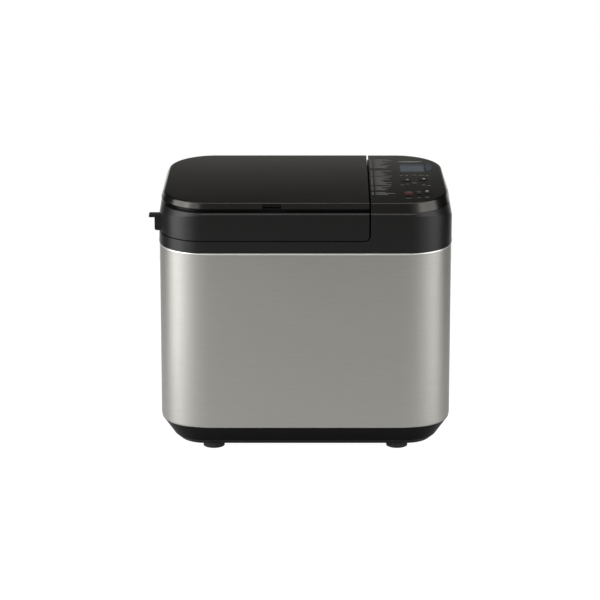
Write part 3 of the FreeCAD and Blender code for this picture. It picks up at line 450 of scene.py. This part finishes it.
# %% [markdown]
# ## Polished cover
# The cover and the fascia are nearly the same black as the walls, but polished. A moulded cover
# is never quite flat: it is crowned by a millimetre or two, so that it doesn't sink when it
# cools. The crown is too shallow to see as a shape, so it is a bump: one minus the square of the
# share of the depth. It bends what the cover mirrors, and the back looks lighter than the front.

# %% Polished black
CROWN = 1.9 * MM
RIPPLE_WAVES = (9.0, 9.0, 9.0)
GLOSS_ROUGHNESS = 0.18
RIPPLE_ROUGHNESS = 0.04
WARM_TINT = (1.0, 0.96, 0.90, 1.0)

gloss = Finish("polished black")
ripple = gloss.noise(RIPPLE_WAVES, detail=1.0)
depth_share = gloss.along("Y", (1.0, 1 / half_depth, 1.0))
crown = gloss.bump(1.0 - depth_share * depth_share, strength=1.0, distance=CROWN)
gloss.set(
    Base_Color=gloss.blend(ripple, grey(0.003, 0.06), grey(0.0045, 0.06)),
    Roughness=GLOSS_ROUGHNESS + ripple * RIPPLE_ROUGHNESS,
    Specular_Tint=WARM_TINT,
    Normal=crown,
)
wear(gloss, "top_plate", "console_fascia")

# %% [markdown]
# ## Keys, rubber and plastics
# The smaller pieces are moulded in one colour, yet no real surface is one flat tone. A flat
# colour would be quicker, but it looks like a drawing, so a noise mottles colour and roughness a
# little.

# %% Plain finishes
MOTTLE_ROUGHNESS = 0.08


def plain(name, colour, roughness, waves=400.0, spread=0.12, **sockets):
    """A finish mottled in colour and roughness. Spread is how far the colour strays either way."""
    finish = Finish(name)
    mottle = finish.noise((waves, waves, waves))
    low = tuple(c * (1 - spread) for c in colour) + (1.0,)
    high = tuple(min(1.0, c * (1 + spread)) for c in colour) + (1.0,)
    mottled = roughness + mottle * MOTTLE_ROUGHNESS
    return finish.set(Base_Color=finish.blend(mottle, low, high), Roughness=mottled, **sockets)


black_key = plain("black key", (0.004, 0.004, 0.0045), 0.35, Specular_IOR_Level=0.2)
red_key = plain("red key", (0.034, 0.003, 0.005), 0.35, Specular_IOR_Level=0.15)
rubber = plain("rubber", (0.012, 0.012, 0.012), 0.7)
dark_plastic = plain("dark plastic", (0.03, 0.03, 0.03), 0.5)
coating = plain("non-stick coating", (0.03, 0.03, 0.032), 0.45, waves=1500.0, spread=0.4)
feet = [name for name in nodes if name.startswith("foot_")]
wear(black_key, "menu_key", "size_key", "time_down_key", "time_up_key")
wear(red_key, "stop_key")
wear(rubber, *feet, "drive_belt", "cord_gland")
wear(dark_plastic, "key_switches", "power_components", "large_pulley", "small_pulley")
wear(coating, "bread_pan", "kneading_blade")
wear(plain("display", (0.2, 0.24, 0.27), 0.4), "lcd_module")
wear(plain("silicone", (0.4, 0.38, 0.35), 0.55), "lid_gasket")
wear(plain("circuit board", (0.02, 0.13, 0.05), 0.4), "control_board", "power_board")
wear(plain("dispenser grey", (0.2, 0.2, 0.2), 0.5), "dispenser_box", "dispenser_flap")

# %% [markdown]
# ## Metals inside
# Pins, pan, oven and drive are seen when the lid is open. Each kind of metal has its own colour
# and polish. One grey for all would do at a distance, but close by the eye tells bronze from
# steel and a casting from a sheet.

# %% Metals
def metal(name, colour, roughness, waves=400.0):
    """A plain finish of bare metal."""
    return plain(name, colour, roughness, waves, Metallic=1.0)


wear(metal("bare steel", (0.55, 0.55, 0.55), 0.3),
     "lid_hinge_rods", "plate_hinge_pins", "flap_pin", "chassis_plate", "chassis_screws",
     "motor_screws", "board_bracket", "drive_shaft", "motor_shaft", "pan_shaft", "handle_ears",
     "pan_handle", "temperature_sensor")
wear(metal("heater tube", (0.18, 0.16, 0.15), 0.45), "heater_element")
wear(metal("oven steel", (0.5, 0.5, 0.49), 0.38), "oven_chamber", "pan_socket")
wear(metal("aluminium", (0.62, 0.62, 0.62), 0.4),
     "lid_liner", "liner_posts", "pan_base", "bearing_housing", "chamber_spacers", "motor_body")
wear(metal("bronze", (0.4, 0.28, 0.12), 0.4), "shaft_bush", "pan_bearing")
wear(metal("cast metal", (0.4, 0.4, 0.4), 0.5, waves=900.0), "drive_coupling", "pan_coupling")

# %% [markdown]
# ## The display
# The window is grey-blue and smooth, over a display that is switched off. It could be clear, with
# the display below in view, but an unlit one shows only its tint, so the window carries the
# colour. Its back edge is darker, a painted shadow of the bezel: a short ramp along Object Y goes
# from one tone to the other.

# %% Display window
BEZEL_SHADOW_START = 61.5 * MM
BEZEL_SHADOW_EDGE = 4 * MM
BEZEL_SHADOW_TONE = (0.036, 0.043, 0.052, 1.0)
WINDOW_DARK = (0.056, 0.068, 0.080, 1.0)
WINDOW_LIGHT = (0.070, 0.085, 0.100, 1.0)
MIST_WAVES = (90.0, 90.0, 90.0)
WINDOW_ROUGHNESS = 0.14
MIST_ROUGHNESS = 0.04

window = Finish("display window")
mist = window.noise(MIST_WAVES, detail=1.0)
# Painted shadow: the darker band at the window's back edge stands in for the bezel's shade.
in_bezel_shadow = window.node("ShaderNodeMath", {"operation": "MULTIPLY", "use_clamp": True},
                      {0: window.along("Y") - BEZEL_SHADOW_START, 1: 1 / BEZEL_SHADOW_EDGE})
face = window.blend(mist, WINDOW_DARK, WINDOW_LIGHT)
window.set(
    Base_Color=window.blend(in_bezel_shadow, face, BEZEL_SHADOW_TONE),
    Roughness=WINDOW_ROUGHNESS + mist * MIST_ROUGHNESS,
)
wear(window, "lcd_window")

# %% [markdown]
# ## Printed marks
# The console is screen-printed with plain bars in pale ink, a few hundredths of a millimetre
# thick, and each key carries a pale dot, on most keys a painted glint. A mask in the shader could
# draw them flat. As low pads on a grid they have a real edge. All pads of one ink in one place are
# one mesh.

# %% Pads of ink
INK = 0.06 * MM
PAD_STEPS = 7
PAD_PULL = 0.35


def pads(places, z, thickness, power=4.0):
    """Low pads, each given in millimetres by its middle and its width and depth. A square grid
    from minus one to one is drawn in at the corners: each coordinate is multiplied by one minus
    half the pull times the other one squared. The height is one minus the larger coordinate to a
    power, times the thickness."""
    x, y, width, depth = (column[:, None, None] * MM for column in np.array(places, dtype=float).T)
    share = np.linspace(-1.0, 1.0, PAD_STEPS)
    v, u = np.meshgrid(share, share, indexing="ij")
    across = u * (1 - PAD_PULL * v ** 2 / 2)
    along = v * (1 - PAD_PULL * u ** 2 / 2)
    height = z + thickness * (1 - np.maximum(abs(u), abs(v)) ** power)
    px = middle[0] + x + across * width / 2
    py = middle[1] + y + along * depth / 2
    return np.stack([px, py, np.broadcast_to(height, px.shape)], axis=-1)


fascia_top = fascia_high[2]
pale_ink = plain("pale ink", (0.2, 0.2, 0.19), 0.5)
# This ink prints the list and the labels, and on the time-down key it paints a glint.
dim_ink_and_glint = plain("dim ink and glint", (0.10, 0.10, 0.095), 0.5)
blue_ink = plain("blue-grey ink", (0.03, 0.037, 0.045), 0.4)
print("ink stands on the fascia at", fascia_top, "m")

# %% [markdown]
# The list is a column of squares with a bar beside each, in five groups from back to front. Each
# length could be typed in. Instead the lengths follow two sines of the line's number, so that
# they look uneven without being random.

# %% List bars
LIST_LEFT = 90.2
SQUARE_WIDTH = 3.0
BAR_START = 93.5
BAR_DEPTH = 2.5
LINE_PITCH = 4.9
LIST_GROUPS = [(92.0, 9), (36.0, 6), (4.0, 8), (-40.0, 4), (-67.0, 3)]  # first line's place, lines
BAR_LENGTH = 18.0
QUICK_SWING, QUICK_TURN = 5.5, 2.3
SLOW_SWING, SLOW_TURN, SLOW_START = 4.0, 0.9, 1.0

line_y = np.concatenate([first - LINE_PITCH * np.arange(count) for first, count in LIST_GROUPS])
order = np.arange(len(line_y))
length = (BAR_LENGTH + QUICK_SWING * np.sin(QUICK_TURN * order)
          + SLOW_SWING * np.sin(SLOW_TURN * order + SLOW_START))
depth = np.full(len(order), BAR_DEPTH)
square_x = np.full(len(order), LIST_LEFT)
square_width = np.full(len(order), SQUARE_WIDTH)
squares = np.stack([square_x, line_y, square_width, depth], axis=1)
bars = np.stack([BAR_START + length / 2, line_y, length, depth], axis=1)
list_pads = pads(np.concatenate([squares, bars]), fascia_top, INK)
surface("list_bars", list_pads, "housing", dim_ink_and_glint)

# %% [markdown]
# Short bars stand beside the keys, a strip lies behind the display and a darker patch beside it.
# Each is listed one by one, because they follow no rule. A higher power keeps the strip and the
# patch flat almost to their edges.

# %% Bars, strip and patch
BARS = [(131, 14, 5, 2), (138, 14.5, 5, 2), (148, 17, 7, 2), (158, 15, 8, 2), (166, 14, 5, 2),
        (131, -31, 5, 2), (138, -27, 5, 2), (148, -22, 7, 2.4), (160, -31, 6, 2), (167, -34, 5, 2),
        (138, -94, 9, 2), (152, -92, 6, 2), (163, -89, 6, 2)]
STRIP = (144.3, 82.2, 32.4, 3.4)
PATCH = (169.0, 55, 8.4, 33)
FLAT_POWER = 8.0

strip = pads([STRIP], fascia_top, INK, FLAT_POWER)
patch = pads([PATCH], fascia_top, INK, FLAT_POWER)
surface("console_labels", pads(BARS, fascia_top, INK), "housing", dim_ink_and_glint)
surface("console_strip", strip, "housing", pale_ink)
surface("display_patch", patch, "housing", blue_ink)

# %% [markdown]
# Each key has a pale dot on its top. On the stop key it is a printed label; on the other keys it is
# a painted glint, standing in for the highlight that the key's top catches. The dot rides on the
# key's own body, so that it goes down with the key. One mesh for all the dots would stay behind
# when a single key is pressed.

# %% Dots on the keys
painted_glint = plain("painted glint", (0.34, 0.34, 0.33), 0.45)
# Painted glints: the pale dots on the menu, size and time keys stand in for the highlights on their
# tops; only the stop key's dot is a printed label.
DOTS_AND_GLINTS = {
    "menu_key": (138.5, -8.0, 2.6, 4.2, painted_glint),
    "size_key": (161.0, -3.5, 2.6, 5.0, painted_glint),
    "stop_key": (138.2, -67.5, 8.0, 3.4, dim_ink_and_glint),
    "time_down_key": (152.4, -65.0, 3.0, 3.6, dim_ink_and_glint),
    "time_up_key": (163.4, -62.0, 4.0, 4.0, painted_glint),
}
key_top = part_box("menu_key")[1][2]
# Each dot's paint is print on the stop key and a painted glint on the other keys.
for key, (*place, ink) in DOTS_AND_GLINTS.items():
    surface(key + "_dot", pads([place], key_top, INK), key, ink)

# %% [markdown]
# ## Floor
# The machine stands on a pale floor the size of a table. A wider one would hide the lower part of
# the side panels, which the machine's dark walls mirror, so it ends in front of them. Light Path
# lets the camera and glass see it nearly white. The small share that is left is lit by the lamps
# and keeps the machine's shadow. Mirrors see a smaller part of that white.

# %% Floor
FLOOR_SIZE = 1.5
FLOOR_GREY = 0.7
FLOOR_ROUGHNESS = 0.6
FLOOR_WHITE = 1.15
SHOWN_TO_CAMERA = 0.85
SHOWN_TO_MIRROR = 0.22

edge = FLOOR_SIZE / 2
floor_corners = [(-edge, -edge, 0), (edge, -edge, 0), (edge, edge, 0), (-edge, edge, 0)]
floor_mesh = bpy.data.meshes.new("floor")
floor_mesh.from_pydata(floor_corners, [], [(0, 1, 2, 3)])
floor = bpy.data.objects.new("floor", floor_mesh)
bpy.context.scene.collection.objects.link(floor)
print("floor", FLOOR_SIZE, "m square")

# %% [markdown]
# The floor's material mixes a lit grey with a plain glow. Light Path's rays choose how much of
# the glow is shown, which adds no light to the machine as more lamps on the floor would.

# %% Pale floor
pale = Finish("pale floor")
to_camera = pale.node("ShaderNodeLightPath", output="Is Camera Ray")
to_mirror = pale.node("ShaderNodeLightPath", output="Is Glossy Ray")
to_glass = pale.node("ShaderNodeLightPath", output="Is Transmission Ray")
glow = pale.node("ShaderNodeEmission", {}, {"Color": grey(1.0), "Strength": FLOOR_WHITE})
pale.set(Base_Color=grey(FLOOR_GREY), Roughness=FLOOR_ROUGHNESS)
lit = Wave(pale, pale.shader.outputs[0])
shown = (to_camera + to_glass) * SHOWN_TO_CAMERA + to_mirror * SHOWN_TO_MIRROR
pale.output("Material Output", pale.node("ShaderNodeMixShader", {}, {0: shown, 1: lit, 2: glow}))
floor_mesh.materials.append(pale.material)
print("pale floor,", len(pale.tree.nodes), "shader nodes")

# %% [markdown]
# ## Background
# The world is white to the camera and through glass. Glossy surfaces, the steel among them, mirror
# a graded room instead: white behind the machine up to a little over the horizon, from there
# fading into the dark above and at the sides, with a faint glow in front. White all round would be
# simpler, but the polished black cover turns grey in it. What lights the machine is a plain grey
# and the lamps.

# %% World
AMBIENT = 0.26
ROOM_TONE = grey(1.0, 0.06)
HAZE_START = 0.087
HAZE_FADE = 0.072
BEHIND_FROM = 0.7
BEHIND_TO = 0.92
FRONT_FILL = 0.3

world = bpy.data.worlds.new("studio")
bpy.context.scene.world = world
world.use_nodes = True
studio = Graph(world.node_tree)
direction = studio.node("ShaderNodeTexCoord", output="Generated")
up = studio.node("ShaderNodeSeparateXYZ", {}, {0: direction}, output="Z")
back = studio.node("ShaderNodeSeparateXYZ", {}, {0: direction}, output="Y")
fade = (HAZE_START - up) * (1 / HAZE_FADE)
fall = studio.node("ShaderNodeMath", {"operation": "EXPONENT"}, {0: fade})
haze = studio.node("ShaderNodeMath", {"operation": "MINIMUM"}, {0: fall, 1: 1.0})
behind = studio.node("ShaderNodeMapRange", {}, {
    "Value": back, "From Min": BEHIND_FROM, "From Max": BEHIND_TO})
ahead = studio.node("ShaderNodeMath", {"operation": "MAXIMUM"}, {0: back * -1.0, 1: 0.0})
room = haze * behind + ahead * FRONT_FILL
ambient = studio.node("ShaderNodeBackground", {}, {"Color": grey(1.0), "Strength": AMBIENT})
backdrop = studio.node("ShaderNodeBackground", {}, {"Color": ROOM_TONE, "Strength": room})
white = studio.node("ShaderNodeBackground", {}, {"Color": grey(1.0), "Strength": 1.0})
mirrored = studio.node("ShaderNodeLightPath", output="Is Glossy Ray")
seen = studio.node("ShaderNodeLightPath", output="Is Camera Ray")
through = studio.node("ShaderNodeLightPath", output="Is Transmission Ray")
unseen = studio.node("ShaderNodeMixShader", {}, {0: mirrored, 1: ambient, 2: backdrop})
around = studio.node("ShaderNodeMixShader", {}, {0: seen + through, 1: unseen, 2: white})
studio.output("World Output", around)
print("world,", len(world.node_tree.nodes), "shader nodes")

# %% [markdown]
# ## Lamps
# Five soft panels light the machine: a strong and a weak one at each side, and one overhead. The
# strong ones draw the bright bands on the corners and the weak ones soften their inner edge. A
# lamp could be aimed by a constraint, but two angles and a distance place it and aim it at once.

# %% Lamps
# Each row: name, degrees round from the front, degrees up, metres away, width, height, watts.
PANELS = [
    ("left panel", -72, 18, 1.5, 1.0, 1.9, 28),
    ("left fill", -46, 18, 1.5, 0.8, 1.9, 9),
    ("right panel", 71, 18, 1.6, 1.05, 1.9, 19),
    ("right fill", 45, 18, 1.6, 0.8, 1.9, 5),
    ("overhead panel", 0, 89, 2.0, 2.4, 1.5, 17),
]


def panel(name, azimuth, elevation, distance, width, height, watts):
    """A soft rectangular panel aimed at the camera's own aim, placed by two angles round it."""
    turn = math.radians(azimuth)
    lift = math.radians(elevation)
    light = bpy.data.lights.new(name, "AREA")
    light.shape = "RECTANGLE"
    light.size = width
    light.size_y = height
    light.energy = watts
    lamp = bpy.data.objects.new(name, light)
    bpy.context.scene.collection.objects.link(lamp)
    level = math.cos(lift)
    away = np.array([math.sin(turn) * level, -math.cos(turn) * level, math.sin(lift)])
    lamp.location = LOOK_AT + distance * away
    lamp.rotation_euler = (math.pi / 2 - lift, 0.0, turn)
    print(name, watts, "W")


for row in PANELS:
    panel(*row)
bpy.context.scene.view_settings.view_transform = "Standard"
